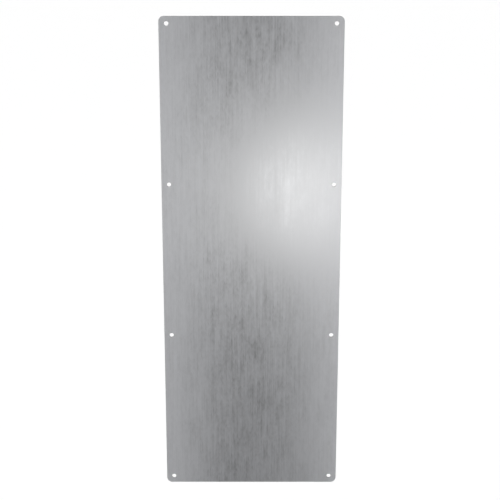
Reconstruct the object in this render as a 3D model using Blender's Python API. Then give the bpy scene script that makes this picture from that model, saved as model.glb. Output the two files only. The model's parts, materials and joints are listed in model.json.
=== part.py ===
"""Screw-fixed kick plate: one flat sheet of satin stainless steel for the foot of a door.

The sheet is a rectangle with rounded corners, punched with a column of holes down each long edge.
It stands on end. X runs across the plate, Z runs along its length and its grain, and the brushed
face looks towards -Y. The origin is the middle of the back face, which lies against the door.
"""

import math

import bmesh
import bpy

INCH = 0.0254

# Driving dimensions, in metres.
PLATE_WIDTH = 12 * INCH
PLATE_LENGTH = 34 * INCH
PLATE_THICKNESS = INCH / 16
CORNER_RADIUS = 3 / 8 * INCH
HOLE_DIAMETER = 19 / 64 * INCH
HOLE_INSET = INCH / 2  # from a hole's centre to the plate's nearest edges
HOLES_PER_COLUMN = 4
EDGE_BREAK = 0.0002  # rounding that deburring leaves along every edge

# How finely the round shapes are divided.
CORNER_STEPS = 10
HOLE_STEPS = 40
EDGE_BREAK_STEPS = 2
SHARP_ANGLE = math.radians(40)  # less than the fold at an edge, more than a step round a hole


def arc(centre, radius, start, sweep, steps):
    """Points (x, z) along an arc, both of its ends included."""
    turns = [start + sweep * step / steps for step in range(steps + 1)]
    return [(centre[0] + radius * math.cos(turn), centre[1] + radius * math.sin(turn)) for turn in turns]


def plate_outline():
    """The rounded rectangle, counter-clockwise from the lower end of its right-hand edge."""
    middle_x = PLATE_WIDTH / 2 - CORNER_RADIUS
    middle_z = PLATE_LENGTH / 2 - CORNER_RADIUS
    quarter = math.pi / 2
    points = []
    for corner, (side_x, side_z) in enumerate([(1, 1), (-1, 1), (-1, -1), (1, -1)]):
        centre = (side_x * middle_x, side_z * middle_z)
        points += arc(centre, CORNER_RADIUS, corner * quarter, quarter, CORNER_STEPS)
    return points


def hole_centres():
    """Two columns of evenly spaced holes, each column as far in from the ends as from its long edge."""
    column_x = PLATE_WIDTH / 2 - HOLE_INSET
    top_z = PLATE_LENGTH / 2 - HOLE_INSET
    pitch = 2 * top_z / (HOLES_PER_COLUMN - 1)
    return [(side * column_x, top_z - row * pitch) for row in range(HOLES_PER_COLUMN) for side in (-1, 1)]


def add_loop(shape, points):
    """A closed loop of edges in the plane of the back face."""
    corners = [shape.verts.new((x, 0, z)) for x, z in points]
    return [shape.edges.new(pair) for pair in zip(corners, corners[1:] + corners[:1])]


def blank_mesh():
    """The punched blank as a flat face with openings, facing the door."""
    shape = bmesh.new()
    loops = add_loop(shape, plate_outline())
    for centre in hole_centres():
        circle = arc(centre, HOLE_DIAMETER / 2, 0, 2 * math.pi, HOLE_STEPS)
        loops += add_loop(shape, circle[:-1])
    bmesh.ops.triangle_fill(shape, use_beauty=True, edges=loops, normal=(0, 1, 0))
    mesh = bpy.data.meshes.new("kick_plate")
    shape.to_mesh(mesh)
    shape.free()
    return mesh


def satin_stainless():
    """Stainless steel, belt polished to a satin finish: a neutral grey metal with a soft shine."""
    material = bpy.data.materials.new("satin_stainless")
    material.use_nodes = True
    shader = material.node_tree.nodes["Principled BSDF"]
    shader.inputs["Base Color"].default_value = (0.56, 0.57, 0.58, 1)
    shader.inputs["Metallic"].default_value = 1
    shader.inputs["Roughness"].default_value = 0.38
    return material


def kick_plate():
    """The blank thickened towards the brushed side, with every edge broken."""
    plate = bpy.data.objects.new("kick_plate", blank_mesh())
    bpy.context.scene.collection.objects.link(plate)
    plate.data.materials.append(satin_stainless())

    sheet = plate.modifiers.new("sheet thickness", "SOLIDIFY")
    sheet.thickness = PLATE_THICKNESS
    sheet.offset = -1

    deburring = plate.modifiers.new("edge break", "BEVEL")
    deburring.width = EDGE_BREAK
    deburring.segments = EDGE_BREAK_STEPS
    deburring.limit_method = "ANGLE"
    deburring.angle_limit = SHARP_ANGLE

    plate.data.shade_smooth()
    plate.data.set_sharp_from_angle(angle=SHARP_ANGLE)
    return plate


def main():
    for old in list(bpy.data.objects):
        bpy.data.objects.remove(old)
    kick_plate()


main()
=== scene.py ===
"""Looks of a screw-fixed kick plate for a door: the punched sheet, its finishes and a white studio."""

import json
import math

import bmesh
import bpy
from bpy.props import FloatProperty, PointerProperty, StringProperty
from bpy.types import Operator, Panel, PropertyGroup
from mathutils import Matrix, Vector


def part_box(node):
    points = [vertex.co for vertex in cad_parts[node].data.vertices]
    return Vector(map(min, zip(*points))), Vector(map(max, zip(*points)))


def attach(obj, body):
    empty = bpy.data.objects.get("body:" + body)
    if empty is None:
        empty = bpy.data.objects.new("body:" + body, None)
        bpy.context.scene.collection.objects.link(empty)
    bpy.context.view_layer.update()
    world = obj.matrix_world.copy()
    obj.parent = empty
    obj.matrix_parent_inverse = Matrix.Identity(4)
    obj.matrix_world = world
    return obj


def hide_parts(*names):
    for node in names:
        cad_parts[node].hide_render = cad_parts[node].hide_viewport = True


bl_info = {
    "name": "Kick Plate",
    "version": (1, 0, 0),
    "blender": (4, 5, 0),
    "location": "3D View > Sidebar > Kick Plate",
    "description": "Builds a satin stainless steel kick plate for a door, and a studio to look at it in",
    "category": "Add Mesh",
}

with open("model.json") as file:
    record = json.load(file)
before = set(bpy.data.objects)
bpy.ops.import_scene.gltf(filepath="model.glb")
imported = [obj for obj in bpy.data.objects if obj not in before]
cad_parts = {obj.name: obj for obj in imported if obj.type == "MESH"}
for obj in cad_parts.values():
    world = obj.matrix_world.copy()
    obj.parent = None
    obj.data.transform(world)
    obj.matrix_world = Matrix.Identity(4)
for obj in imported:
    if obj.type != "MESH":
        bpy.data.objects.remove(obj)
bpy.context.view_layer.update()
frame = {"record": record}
SHEET_LOW, SHEET_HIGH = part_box("kick_plate")

MM = 0.001
INCH = 0.0254


# ---------------------------------------------------------------------------------------------------
# Settings
# ---------------------------------------------------------------------------------------------------


class KickPlateSettings(PropertyGroup):
    """The sizes and finishes that a user would change."""

    corner_radius: FloatProperty(
        name="Corner radius",
        description="Radius of the sheet's four corners",
        default=3 / 8 * INCH,
        min=2 * MM,
        subtype="DISTANCE",
        unit="LENGTH",
    )
    hole_diameter: FloatProperty(
        name="Hole diameter",
        description="Diameter of the punched screw holes",
        default=19 / 64 * INCH,
        min=3 * MM,
        subtype="DISTANCE",
        unit="LENGTH",
    )
    roll_over: FloatProperty(
        name="Roll-over",
        description="How far in from an edge the punch and the shear pulled the front face down",
        default=0.2 * MM,
        min=0.05 * MM,
        subtype="DISTANCE",
        unit="LENGTH",
    )
    steel_colour: StringProperty(
        name="Steel colour",
        description="Colour of the bare stainless steel, as an sRGB hex value",
        default="C5C6C9",
    )
    satin_roughness: FloatProperty(
        name="Satin roughness",
        description="Roughness of the belt polished front",
        default=0.346,
        min=0.05,
        max=1,
        subtype="FACTOR",
    )
    polish_contrast: FloatProperty(
        name="Polish contrast",
        description="How unevenly the belt bit: 0 is perfectly even",
        default=1,
        min=0,
        max=4,
    )


# ---------------------------------------------------------------------------------------------------
# Small helpers
# ---------------------------------------------------------------------------------------------------


def linear(hex_colour):
    """An sRGB hex colour as linear red, green, blue and alpha."""
    channels = [int(hex_colour[at : at + 2], 16) / 255 for at in (0, 2, 4)]
    return (*[c / 12.92 if c <= 0.04045 else ((c + 0.055) / 1.055) ** 2.4 for c in channels], 1)


def add_node(tree, kind, inputs=None, **settings):
    """A node with its settings made, and each input either set to a value or linked to a socket."""
    node = tree.nodes.new("ShaderNode" + kind)
    for name, value in settings.items():
        setattr(node, name, value)
    for name, value in (inputs or {}).items():
        if isinstance(value, bpy.types.NodeSocket):
            tree.links.new(value, node.inputs[name])
        else:
            node.inputs[name].default_value = value
    return node


def new_material(name):
    """An empty node material: (material, tree, shader)."""
    material = bpy.data.materials.new(name)
    material.use_nodes = True
    return material, material.node_tree, material.node_tree.nodes["Principled BSDF"]


def grain(tree, across, along, detail, seed, slide=None):
    """Noise drawn out along the sheet's long side, about 0 on average. across and along are in metres.

    slide is a field of distances that push the pattern along the sheet, which frays its ends.
    """
    place = add_node(tree, "TexCoord").outputs["Object"]
    if slide:
        push = add_node(tree, "CombineXYZ", {"Z": slide}).outputs["Vector"]
        place = add_node(tree, "VectorMath", {0: place, 1: push}, operation="ADD").outputs["Vector"]
    scale = (1 / across, 1 / across, 1 / along)
    stretched = add_node(tree, "Mapping", {"Vector": place, "Location": (seed, seed, seed), "Scale": scale})
    noise = add_node(
        tree,
        "TexNoise",
        {"Vector": stretched.outputs["Vector"], "Scale": 1, "Detail": detail, "Roughness": 0.6},
    )
    return add_node(tree, "Math", {0: noise.outputs["Fac"], 1: 0.5}, operation="SUBTRACT").outputs[0]


def weighted(tree, first, *rest):
    """The sum of fields, each given as (socket, weight)."""
    total = add_node(tree, "Math", {0: first[0], 1: first[1]}, operation="MULTIPLY").outputs[0]
    for field, weight in rest:
        total = add_node(tree, "Math", {0: field, 1: weight, 2: total}, operation="MULTIPLY_ADD").outputs[0]
    return total


# ---------------------------------------------------------------------------------------------------
# Finishes
# ---------------------------------------------------------------------------------------------------


# How unevenly the belt ground the front.
POLISH_ROUGHNESS = 0.014  # how much rougher the steel gets where the belt bit hardest
POLISH_TINT = 0.36  # how much lighter it gets there
POLISH_FRAY = 25 * MM  # how far neighbouring marks are pushed along each other

# The marks are strongest along a line just left of the middle, and weakest by the long edges.
STRONG_AT = -8 * MM
STRONG_WITHIN, WEAK_BEYOND, WEAKEST = 20 * MM, 125 * MM, 0.35

# A duller spot is darker than the steel round it where a lamp shines, and lighter elsewhere. The marks'
# colour is painted to follow that, as painted highlight: it fades towards the place where the lamp
# shines, and is light for dark inside it.
PAINTED_SHINE_AT = (105 * MM, 0, 135 * MM)
PAINTED_SHINE_WITHIN, PAINTED_SHINE_BEYOND, PAINTED_SHINE_TURNED = 44 * MM, 270 * MM, -0.4


def satin_belt_polish(settings):
    """Stainless steel with a satin finish, ground with a fine belt along the long side.

    The belt leaves short overlapping lines, so the shine has a fine vertical grain. It bites unevenly:
    where it ran lighter the steel stays a little smoother and darker, and the marks gather in bands and
    clouds. Both long edges were finished more evenly than the middle. Round the lamp's shine the marks'
    colour is painted highlight.
    """
    material, tree, shader = new_material("satin_belt_polish")
    # The belt's real lines are 0.05 to 0.2 mm apart. They are drawn at 2.3 mm, which is as fine as shows.
    lines = grain(tree, 2.3 * MM, 85 * MM, 2, 3.1)
    frayed = add_node(tree, "Math", {0: lines, 1: POLISH_FRAY}, operation="MULTIPLY").outputs[0]
    feathers = grain(tree, 4.7 * MM, 6.5 * MM, 5, 7.7, frayed)
    bands = grain(tree, 8 * MM, 45 * MM, 3, 4.4, frayed)
    clouds = grain(tree, 26 * MM, 60 * MM, 5, 1.9, frayed)
    uneven = weighted(tree, (lines, 1.4), (feathers, 1.6), (bands, 1.0), (clouds, 1.2))
    # The lightly ground spots are small and stand out, and the well ground ones run together.
    tilt = add_node(tree, "Math", {0: uneven, 1: -0.5, 2: 1}, operation="MULTIPLY_ADD").outputs[0]
    polish = add_node(tree, "Math", {0: uneven, 1: tilt}, operation="MULTIPLY").outputs[0]
    contrast = {0: polish, 1: settings.polish_contrast}
    polish = add_node(tree, "Math", contrast, operation="MULTIPLY").outputs[0]

    # The harder the belt bit, the rougher the steel.
    rough = {0: polish, 1: POLISH_ROUGHNESS, 2: settings.satin_roughness}
    rough = add_node(tree, "Math", rough, operation="MULTIPLY_ADD").outputs[0]
    tree.links.new(rough, shader.inputs["Roughness"])

    # Its colour changes with the polish too, but less near the long edges. Round the lamp's shine the
    # change is painted highlight: it fades, then turns light for dark.
    place = add_node(tree, "TexCoord").outputs["Object"]
    x = add_node(tree, "SeparateXYZ", {"Vector": place}).outputs["X"]
    x = add_node(tree, "Math", {0: x, 1: STRONG_AT}, operation="SUBTRACT").outputs[0]
    aside = add_node(tree, "Math", {0: x}, operation="ABSOLUTE").outputs[0]
    strong = add_node(
        tree,
        "MapRange",
        {"Value": aside, "From Min": WEAK_BEYOND, "From Max": STRONG_WITHIN, "To Min": WEAKEST, "To Max": 1},
        interpolation_type="SMOOTHSTEP",
    ).outputs["Result"]
    # Painted highlight: towards the lamp's shine the marks' colour fades, and inside it turns light for
    # dark.
    away = add_node(tree, "VectorMath", {0: place, 1: PAINTED_SHINE_AT}, operation="DISTANCE").outputs["Value"]
    painted_shine_sense = add_node(
        tree,
        "MapRange",
        {"Value": away, "From Min": PAINTED_SHINE_WITHIN, "From Max": PAINTED_SHINE_BEYOND, "To Min": PAINTED_SHINE_TURNED, "To Max": 1},
        interpolation_type="SMOOTHSTEP",
    ).outputs["Result"]
    grain_and_painted_shine = add_node(tree, "Math", {0: polish, 1: strong}, operation="MULTIPLY").outputs[0]
    grain_and_painted_shine = add_node(tree, "Math", {0: grain_and_painted_shine, 1: painted_shine_sense}, operation="MULTIPLY").outputs[0]
    share = add_node(tree, "MapRange", {"Value": grain_and_painted_shine, "From Min": -1, "From Max": 1}).outputs["Result"]
    ramp = add_node(tree, "ValToRGB", {"Fac": share})
    steel = linear(settings.steel_colour)
    for end, change in zip(ramp.color_ramp.elements, (-POLISH_TINT, POLISH_TINT)):
        end.color = [channel * (1 + change) for channel in steel[:3]] + [1]
    tree.links.new(ramp.outputs["Color"], shader.inputs["Base Color"])

    # The lines are a few thousandths of a millimetre deep.
    height = weighted(tree, (lines, 0.6), (feathers, 0.4))
    bump = add_node(tree, "Bump", {"Height": height, "Strength": 1, "Distance": 0.003 * MM})
    tree.links.new(bump.outputs["Normal"], shader.inputs["Normal"])
    shader.inputs["Metallic"].default_value = 1
    return material


MILL_ROUGHNESS, MILL_UNEVENNESS = 0.4, 0.09


def mill_finish(settings):
    """Stainless steel as it leaves the rolling mill, cold rolled, pickled and skin passed.

    The rolls leave it smooth, dull and a little cloudy, with faint lines along the way it was rolled.
    """
    material, tree, shader = new_material("mill_finish")
    rolled = grain(tree, 5 * MM, 300 * MM, 3, 5.3)
    clouds = grain(tree, 45 * MM, 70 * MM, 4, 8.8)
    pickled = grain(tree, 3 * MM, 4 * MM, 3, 2.2)
    uneven = weighted(tree, (rolled, 0.9), (clouds, 0.7), (pickled, 0.4))
    rough = {0: uneven, 1: MILL_UNEVENNESS, 2: MILL_ROUGHNESS}
    rough = add_node(tree, "Math", rough, operation="MULTIPLY_ADD").outputs[0]
    tree.links.new(rough, shader.inputs["Roughness"])
    cloudy = {"Value": uneven, "From Min": -0.5, "From Max": 0.5}
    share = add_node(tree, "MapRange", cloudy).outputs["Result"]
    ramp = add_node(tree, "ValToRGB", {"Fac": share})
    ramp.color_ramp.elements[0].color = linear("BEBEBE")
    ramp.color_ramp.elements[1].color = linear("D0D0CE")
    tree.links.new(ramp.outputs["Color"], shader.inputs["Base Color"])
    bump = add_node(tree, "Bump", {"Height": uneven, "Strength": 1, "Distance": 0.008 * MM})
    tree.links.new(bump.outputs["Normal"], shader.inputs["Normal"])
    shader.inputs["Metallic"].default_value = 1
    return material


BURNISHED_ROUGHNESS = 0.12  # nearly a mirror
TORN_ROUGHER, MARKS_ROUGHER = 0.02, 0.02
TEAR_FROM, TORN_BY = -1.1 * MM, -0.8 * MM  # how far in front of the back face the cut starts to tear


def sheared_edge(settings):
    """The cut through the sheet: rolled over at the front, burnished by the tool, then torn and deburred.

    The burnished part shines in fine lines across the thickness, and the torn part behind it is duller.
    """
    material, tree, shader = new_material("sheared_edge")
    place = add_node(tree, "TexCoord")
    depth = add_node(tree, "SeparateXYZ", {"Vector": place.outputs["Object"]}).outputs["Y"]
    # Tool marks run through the sheet's thickness, so the noise is drawn out along it.
    marks_at = add_node(
        tree,
        "Mapping",
        {"Vector": place.outputs["Object"], "Scale": (1 / (0.7 * MM), 1 / (6 * MM), 1 / (0.7 * MM))},
    )
    marks = add_node(tree, "TexNoise", {"Vector": marks_at.outputs["Vector"], "Scale": 1, "Detail": 3})
    torn = add_node(
        tree,
        "MapRange",
        {"Value": depth, "From Min": TEAR_FROM, "From Max": TORN_BY},
        interpolation_type="SMOOTHSTEP",
    ).outputs["Result"]
    rough = {0: torn, 1: TORN_ROUGHER, 2: BURNISHED_ROUGHNESS}
    rough = add_node(tree, "Math", rough, operation="MULTIPLY_ADD").outputs[0]
    marked = {0: marks.outputs["Fac"], 1: MARKS_ROUGHER, 2: rough}
    rough = add_node(tree, "Math", marked, operation="MULTIPLY_ADD").outputs[0]
    tree.links.new(rough, shader.inputs["Roughness"])
    ramp = add_node(tree, "ValToRGB", {"Fac": torn})
    ramp.color_ramp.elements[0].color = linear("9A9A9A")
    ramp.color_ramp.elements[1].color = linear("8A8A8A")
    tree.links.new(ramp.outputs["Color"], shader.inputs["Base Color"])
    bump = add_node(tree, "Bump", {"Height": marks.outputs["Fac"], "Strength": 1, "Distance": 0.008 * MM})
    tree.links.new(bump.outputs["Normal"], shader.inputs["Normal"])
    shader.inputs["Metallic"].default_value = 1
    return material


# ---------------------------------------------------------------------------------------------------
# The sheet
# ---------------------------------------------------------------------------------------------------

CORNER_STEPS = 24
HOLE_STEPS = 96
ROLL_OVER_STEPS = 6
ROLL_OVER_DROP = 0.6  # how deep the roll-over is for its width
BURNISHED_SHARE = 0.45  # how far through the sheet the tool cut cleanly
TEAR = 0.02 * MM  # how far the torn part lies behind the clean cut
EDGE_BREAK = 0.08 * MM  # what deburring takes off at the back
FRONT, BACK, EDGE = 0, 1, 2  # places in the sheet's list of materials


def cut_profile(settings, thickness):
    """A cut edge from the front face to the back: (in from the nominal edge, down from the front face)."""
    width, drop = settings.roll_over, settings.roll_over * ROLL_OVER_DROP
    profile = []
    for step in range(ROLL_OVER_STEPS + 1):
        turn = math.pi / 2 * step / ROLL_OVER_STEPS
        profile.append((width * (1 - math.sin(turn)), drop * (1 - math.cos(turn))))
    tear_end = thickness - EDGE_BREAK
    profile += [(0, thickness * BURNISHED_SHARE), (TEAR, tear_end - EDGE_BREAK), (TEAR, tear_end)]
    profile.append((TEAR + EDGE_BREAK * 0.3, thickness - EDGE_BREAK * 0.3))
    return [*profile, (TEAR + EDGE_BREAK, thickness)]


def rounded_rectangle(width, length, radius):
    """Points (x, z) round the sheet's outline, counter-clockwise seen from behind the front face."""
    points = []
    for corner, (side_x, side_z) in enumerate([(1, 1), (-1, 1), (-1, -1), (1, -1)]):
        middle = (side_x * (width / 2 - radius), side_z * (length / 2 - radius))
        for step in range(CORNER_STEPS + 1):
            turn = math.pi / 2 * (corner + step / CORNER_STEPS)
            points.append((middle[0] + radius * math.cos(turn), middle[1] + radius * math.sin(turn)))
    return points


def circle(centre, radius):
    """Points (x, z) round a hole."""
    turns = [2 * math.pi * step / HOLE_STEPS for step in range(HOLE_STEPS)]
    return [(centre[0] + radius * math.cos(turn), centre[1] + radius * math.sin(turn)) for turn in turns]


def hole_centres():
    """The middle (x, z) of every screw hole, from the spaces that the frame keeps open for the screws."""
    boxes = [opening["box_m"] for opening in frame["record"]["physics"]["openings"]]
    return [((low[0] + high[0]) / 2, (low[2] + high[2]) / 2) for low, high in boxes]


def add_cut(mesh, outline_at, profile, front_y):
    """The wall of one cut, given its outline at each distance in from the edge. Returns its two rims."""
    rings = []
    for inset, depth in profile:
        rings.append([mesh.verts.new((x, front_y + depth, z)) for x, z in outline_at(inset)])
    for ring, following in zip(rings, rings[1:]):
        for at in range(len(ring)):
            after = (at + 1) % len(ring)
            wall = mesh.faces.new((ring[at], ring[after], following[after], following[at]))
            wall.material_index = EDGE
            wall.smooth = True
    rims = (rings[0], rings[-1])
    return [[mesh.edges.get((ring[at - 1], ring[at])) for at in range(len(ring))] for ring in rims]


def sheet_mesh(settings):
    """The punched sheet as one closed mesh: two flat faces, and a worked wall round every cut."""
    size = SHEET_HIGH - SHEET_LOW
    middle = (SHEET_HIGH + SHEET_LOW) / 2
    profile = cut_profile(settings, size.y)

    def outline_at(inset):
        points = rounded_rectangle(size.x - 2 * inset, size.z - 2 * inset, settings.corner_radius - inset)
        return [(middle.x + x, middle.z + z) for x, z in points]

    shape = bmesh.new()
    rims = [add_cut(shape, outline_at, profile, SHEET_LOW.y)]
    for centre in hole_centres():
        rims.append(
            add_cut(
                shape,
                lambda inset, centre=centre: circle(centre, settings.hole_diameter / 2 + inset),
                profile,
                SHEET_LOW.y,
            )
        )
    for side, finish in enumerate((FRONT, BACK)):
        edges = [edge for cut in rims for edge in cut[side]]
        filled = bmesh.ops.triangle_fill(shape, use_beauty=True, edges=edges, normal=(0, (-1, 1)[side], 0))
        for face in filled["geom"]:
            if isinstance(face, bmesh.types.BMFace):
                face.material_index = finish
                face.smooth = False
    if not all(edge.is_manifold for edge in shape.edges):
        raise RuntimeError("The sheet isn't closed: a cut's rims overlap or a face is missing")
    bmesh.ops.recalc_face_normals(shape, faces=shape.faces)
    mesh = bpy.data.meshes.new("kick_plate_sheet")
    shape.to_mesh(mesh)
    shape.free()
    return mesh


class KICKPLATE_OT_make_sheet(Operator):
    """Make the punched sheet with its satin front, mill finish back and sheared edges"""

    bl_idname = "kick_plate.make_sheet"
    bl_label = "Sheet"
    bl_options = {"REGISTER", "UNDO"}

    def execute(self, context):
        settings = context.scene.kick_plate
        mesh = sheet_mesh(settings)
        for finish in (satin_belt_polish, mill_finish, sheared_edge):
            mesh.materials.append(finish(settings))
        sheet = bpy.data.objects.new("kick_plate_sheet", mesh)
        context.scene.collection.objects.link(sheet)
        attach(sheet, "root")
        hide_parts("kick_plate")
        return {"FINISHED"}


# ---------------------------------------------------------------------------------------------------
# The studio
# ---------------------------------------------------------------------------------------------------

FLOOR_SIZE = 18.0
FLOOR_DROP = 1.1  # how far the floor lies below the plate, which hangs by its back face
CAMERA_ELEVATION = math.radians(21.67)
CAMERA_DISTANCE = 118.8 * INCH
CAMERA_SIDESTEP = -0.1 * INCH  # to the right of the sheet's middle
CAMERA_RISE = 0.755 * INCH  # above the line that looks at the sheet's middle
CAMERA_LENS = 126.1
WHITE_STUDIO = 1.14  # how brightly the studio glows for everything but polished metal

# The room that polished metal mirrors. Its heights are sines of the angle above level.
FRONT_GLOW = 0.1  # straight in front of the sheet, above eye level
FRONT_DARK_BELOW, FRONT_LIT_ABOVE = -0.48, -0.2
SIDE_GLOW = 0.8  # off to every side
FRONT_WITHIN, SIDE_BEYOND = math.radians(36), math.radians(68)
CEILING_FROM, CEILING_DARK = 0.35, 0.8  # the room darkens upwards between these heights
CEILING_LEFT = 0.2  # the share of its glow that is left at the ceiling
WALL_GLOW, WALL_LEAST = 3.6, 0.02  # of the back wall, at its brightest and above it
WALL_BRIGHT_BELOW, WALL_DARK_ABOVE, WALL_FADE = 0.22, 0.45, 1.7
WALL_MIDDLE, WALL_SIDES = 0.1, 0.3  # how far to the side it is still bright, and where it has faded out
WALL_STARTS, WALL_FULL = -0.3, 0.1  # how far towards the back it comes in, and is all there
WALL_FOOT = -0.15

LAMPS = (
    # name, place, the point it faces, width and height, colour, watts
    ("key_lamp", (0.097, -1.07, -0.244), (0, 0, 0), (0.06, 0.06), "FFFEFA", 0.57),
    ("left_strip", (-0.22, -0.79, 0.2), (0, 0, 0.2), (0.04, 3.2), "FFFFFF", 2.01),
    ("right_strip", (0.3, -1.14, 0.27), (0, 0, 0.27), (0.04, 3.5), "FFFFFF", 3.94),
    ("rear_lamp", (-1.5, 2.0, -0.3), (0, 0, 0), (1.0, 1.6), "FFFFFF", 11),
)


def add_light(name, place, aim, size, colour, watts):
    """A rectangular lamp that faces a point. It shines on metal only, and the floor stays evenly white."""
    lamp = bpy.data.lights.new(name, "AREA")
    lamp.shape = "RECTANGLE"
    lamp.size, lamp.size_y = size
    lamp.color = linear(colour)[:3]
    lamp.energy = watts
    light = bpy.data.objects.new(name, lamp)
    light.location = place
    light.rotation_euler = (Vector(aim) - Vector(place)).to_track_quat("-Z", "Y").to_euler()
    light.visible_camera = False
    light.visible_diffuse = False
    bpy.context.scene.collection.objects.link(light)


def add_floor():
    """A plain white painted floor. The metal doesn't mirror it, as if a dark flag stood between them."""
    half = FLOOR_SIZE / 2
    shape = bmesh.new()
    corners = [shape.verts.new((x * half, y * half, 0)) for x, y in ((-1, -1), (1, -1), (1, 1), (-1, 1))]
    shape.faces.new(corners)
    mesh = bpy.data.meshes.new("studio_floor")
    shape.to_mesh(mesh)
    shape.free()
    material, _, shader = new_material("white_studio_paint")
    shader.inputs["Base Color"].default_value = linear("F4F4F4")
    shader.inputs["Roughness"].default_value = 0.9
    mesh.materials.append(material)
    floor = bpy.data.objects.new("studio_floor", mesh)
    floor.location.z = SHEET_LOW.z - FLOOR_DROP
    floor.visible_glossy = False
    bpy.context.scene.collection.objects.link(floor)


def mirrored_room(tree):
    """How brightly the room glows each way, for polished metal: a dim room with a lit wall behind the sheet.

    The room is darkest where the front faces, below eye level, and it darkens again towards the ceiling.
    The back wall is lit like a window: bright in the middle up to 13 degrees above level, and faded out
    by 27 degrees above level and 17 degrees to the sides.
    """
    way = add_node(tree, "TexCoord").outputs["Generated"]
    sideways, depth, height = add_node(tree, "SeparateXYZ", {"Vector": way}).outputs
    ahead = (0, -math.cos(CAMERA_ELEVATION), -math.sin(CAMERA_ELEVATION))
    facing = add_node(tree, "VectorMath", {0: way, 1: ahead}, operation="DOT_PRODUCT").outputs["Value"]
    front = add_node(
        tree,
        "MapRange",
        {"Value": height, "From Min": FRONT_DARK_BELOW, "From Max": FRONT_LIT_ABOVE, "To Max": FRONT_GLOW},
    ).outputs["Result"]
    within, beyond = math.cos(FRONT_WITHIN), math.cos(SIDE_BEYOND)
    room = add_node(
        tree,
        "MapRange",
        {"Value": facing, "From Min": within, "From Max": beyond, "To Min": front, "To Max": SIDE_GLOW},
        interpolation_type="SMOOTHSTEP",
    ).outputs["Result"]
    ceiling = add_node(
        tree,
        "MapRange",
        {"Value": height, "From Min": CEILING_DARK, "From Max": CEILING_FROM, "To Min": CEILING_LEFT},
        interpolation_type="SMOOTHSTEP",
    ).outputs["Result"]
    room = add_node(tree, "Math", {0: room, 1: ceiling}, operation="MULTIPLY").outputs[0]

    fade = {"Value": height, "From Min": WALL_DARK_ABOVE, "From Max": WALL_BRIGHT_BELOW}
    fade = add_node(tree, "MapRange", fade).outputs["Result"]
    fade = add_node(tree, "Math", {0: fade, 1: WALL_FADE}, operation="POWER").outputs[0]
    sideways = add_node(tree, "Math", {0: sideways}, operation="ABSOLUTE").outputs[0]
    middle = {"Value": sideways, "From Min": WALL_SIDES, "From Max": WALL_MIDDLE}
    middle = add_node(tree, "MapRange", middle, interpolation_type="SMOOTHSTEP").outputs["Result"]
    fade = add_node(tree, "Math", {0: fade, 1: middle}, operation="MULTIPLY").outputs[0]
    wall = {0: fade, 1: WALL_GLOW, 2: WALL_LEAST}
    wall = add_node(tree, "Math", wall, operation="MULTIPLY_ADD").outputs[0]

    # The wall comes in gradually past the sheet's plane, and reaches down to just below level.
    starts = {"Value": depth, "From Min": WALL_STARTS, "From Max": WALL_FULL}
    behind = add_node(tree, "MapRange", starts, interpolation_type="SMOOTHSTEP").outputs["Result"]
    foot = {"Value": height, "From Min": WALL_FOOT, "From Max": 0}
    above = add_node(tree, "MapRange", foot, interpolation_type="SMOOTHSTEP").outputs["Result"]
    share = add_node(tree, "Math", {0: behind, 1: above}, operation="MULTIPLY").outputs[0]
    glow = {"Factor": share, "A": room, "B": wall}
    return add_node(tree, "Mix", glow, data_type="FLOAT").outputs["Result"]


def add_world():
    """White all round for the eye and the floor, and a dim room for polished metal to mirror."""
    world = bpy.data.worlds.new("studio")
    world.use_nodes = True
    tree = world.node_tree
    tree.nodes.clear()
    white = add_node(tree, "Background", {"Color": linear("FFFFFF"), "Strength": WHITE_STUDIO})
    room = add_node(tree, "Background", {"Color": linear("FFFFFF"), "Strength": mirrored_room(tree)})
    glossy = add_node(tree, "LightPath").outputs["Is Glossy Ray"]
    sides = {0: glossy, 1: white.outputs["Background"], 2: room.outputs["Background"]}
    both = add_node(tree, "MixShader", sides)
    add_node(tree, "OutputWorld", {"Surface": both.outputs["Shader"]})
    # The lamps do the lighting, so no rays are spent on looking for bright parts of an even room.
    world.cycles.sampling_method = "NONE"
    bpy.context.scene.world = world


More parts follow.
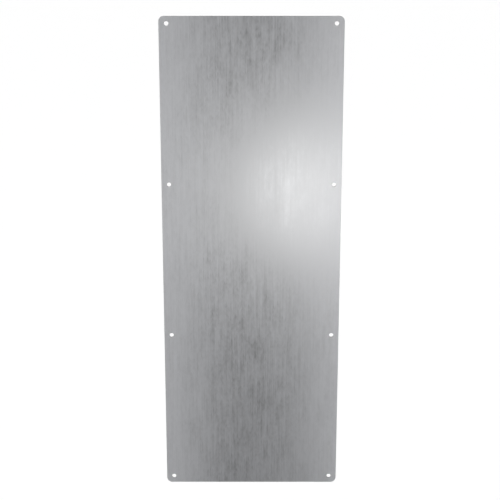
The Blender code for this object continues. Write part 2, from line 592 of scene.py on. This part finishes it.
def add_camera():
    """A long lens that looks down at the front a little, with the plate filling the height of the view."""
    front = Vector(((SHEET_LOW.x + SHEET_HIGH.x) / 2, SHEET_LOW.y, (SHEET_LOW.z + SHEET_HIGH.z) / 2))
    back = Vector((0, -math.cos(CAMERA_ELEVATION), math.sin(CAMERA_ELEVATION)))
    up = Vector((0, math.sin(CAMERA_ELEVATION), math.cos(CAMERA_ELEVATION)))
    lens = bpy.data.cameras.new("studio_camera")
    lens.lens = CAMERA_LENS
    camera = bpy.data.objects.new("studio_camera", lens)
    camera.location = front + back * CAMERA_DISTANCE + Vector((CAMERA_SIDESTEP, 0, 0)) + up * CAMERA_RISE
    camera.rotation_euler = (-back).to_track_quat("-Z", "Y").to_euler()
    bpy.context.scene.collection.objects.link(camera)
    bpy.context.scene.camera = camera


class KICKPLATE_OT_make_stage(Operator):
    """Make the floor, the lamps, the surroundings and the camera"""

    bl_idname = "kick_plate.make_stage"
    bl_label = "Stage"
    bl_options = {"REGISTER", "UNDO"}

    def execute(self, context):
        add_floor()
        add_world()
        for lamp in LAMPS:
            add_light(*lamp)
        add_camera()
        context.scene.view_settings.view_transform = "Standard"
        return {"FINISHED"}


class KICKPLATE_PT_tools(Panel):
    """Settings and operators of the kick plate"""

    bl_label = "Kick Plate"
    bl_idname = "KICKPLATE_PT_tools"
    bl_space_type = "VIEW_3D"
    bl_region_type = "UI"
    bl_category = "Kick Plate"

    def draw(self, context):
        settings = context.scene.kick_plate
        for name in KickPlateSettings.__annotations__:
            self.layout.prop(settings, name)
        for operator in OPERATORS:
            self.layout.operator(operator.bl_idname)


OPERATORS = (KICKPLATE_OT_make_sheet, KICKPLATE_OT_make_stage)
CLASSES = (KickPlateSettings, *OPERATORS, KICKPLATE_PT_tools)


def register():
    for made in CLASSES:
        bpy.utils.register_class(made)
    bpy.types.Scene.kick_plate = PointerProperty(type=KickPlateSettings)


def unregister():
    del bpy.types.Scene.kick_plate
    for made in reversed(CLASSES):
        bpy.utils.unregister_class(made)


def main():
    register()
    bpy.ops.kick_plate.make_sheet()
    bpy.ops.kick_plate.make_stage()


if __name__ == "__main__":
    main()
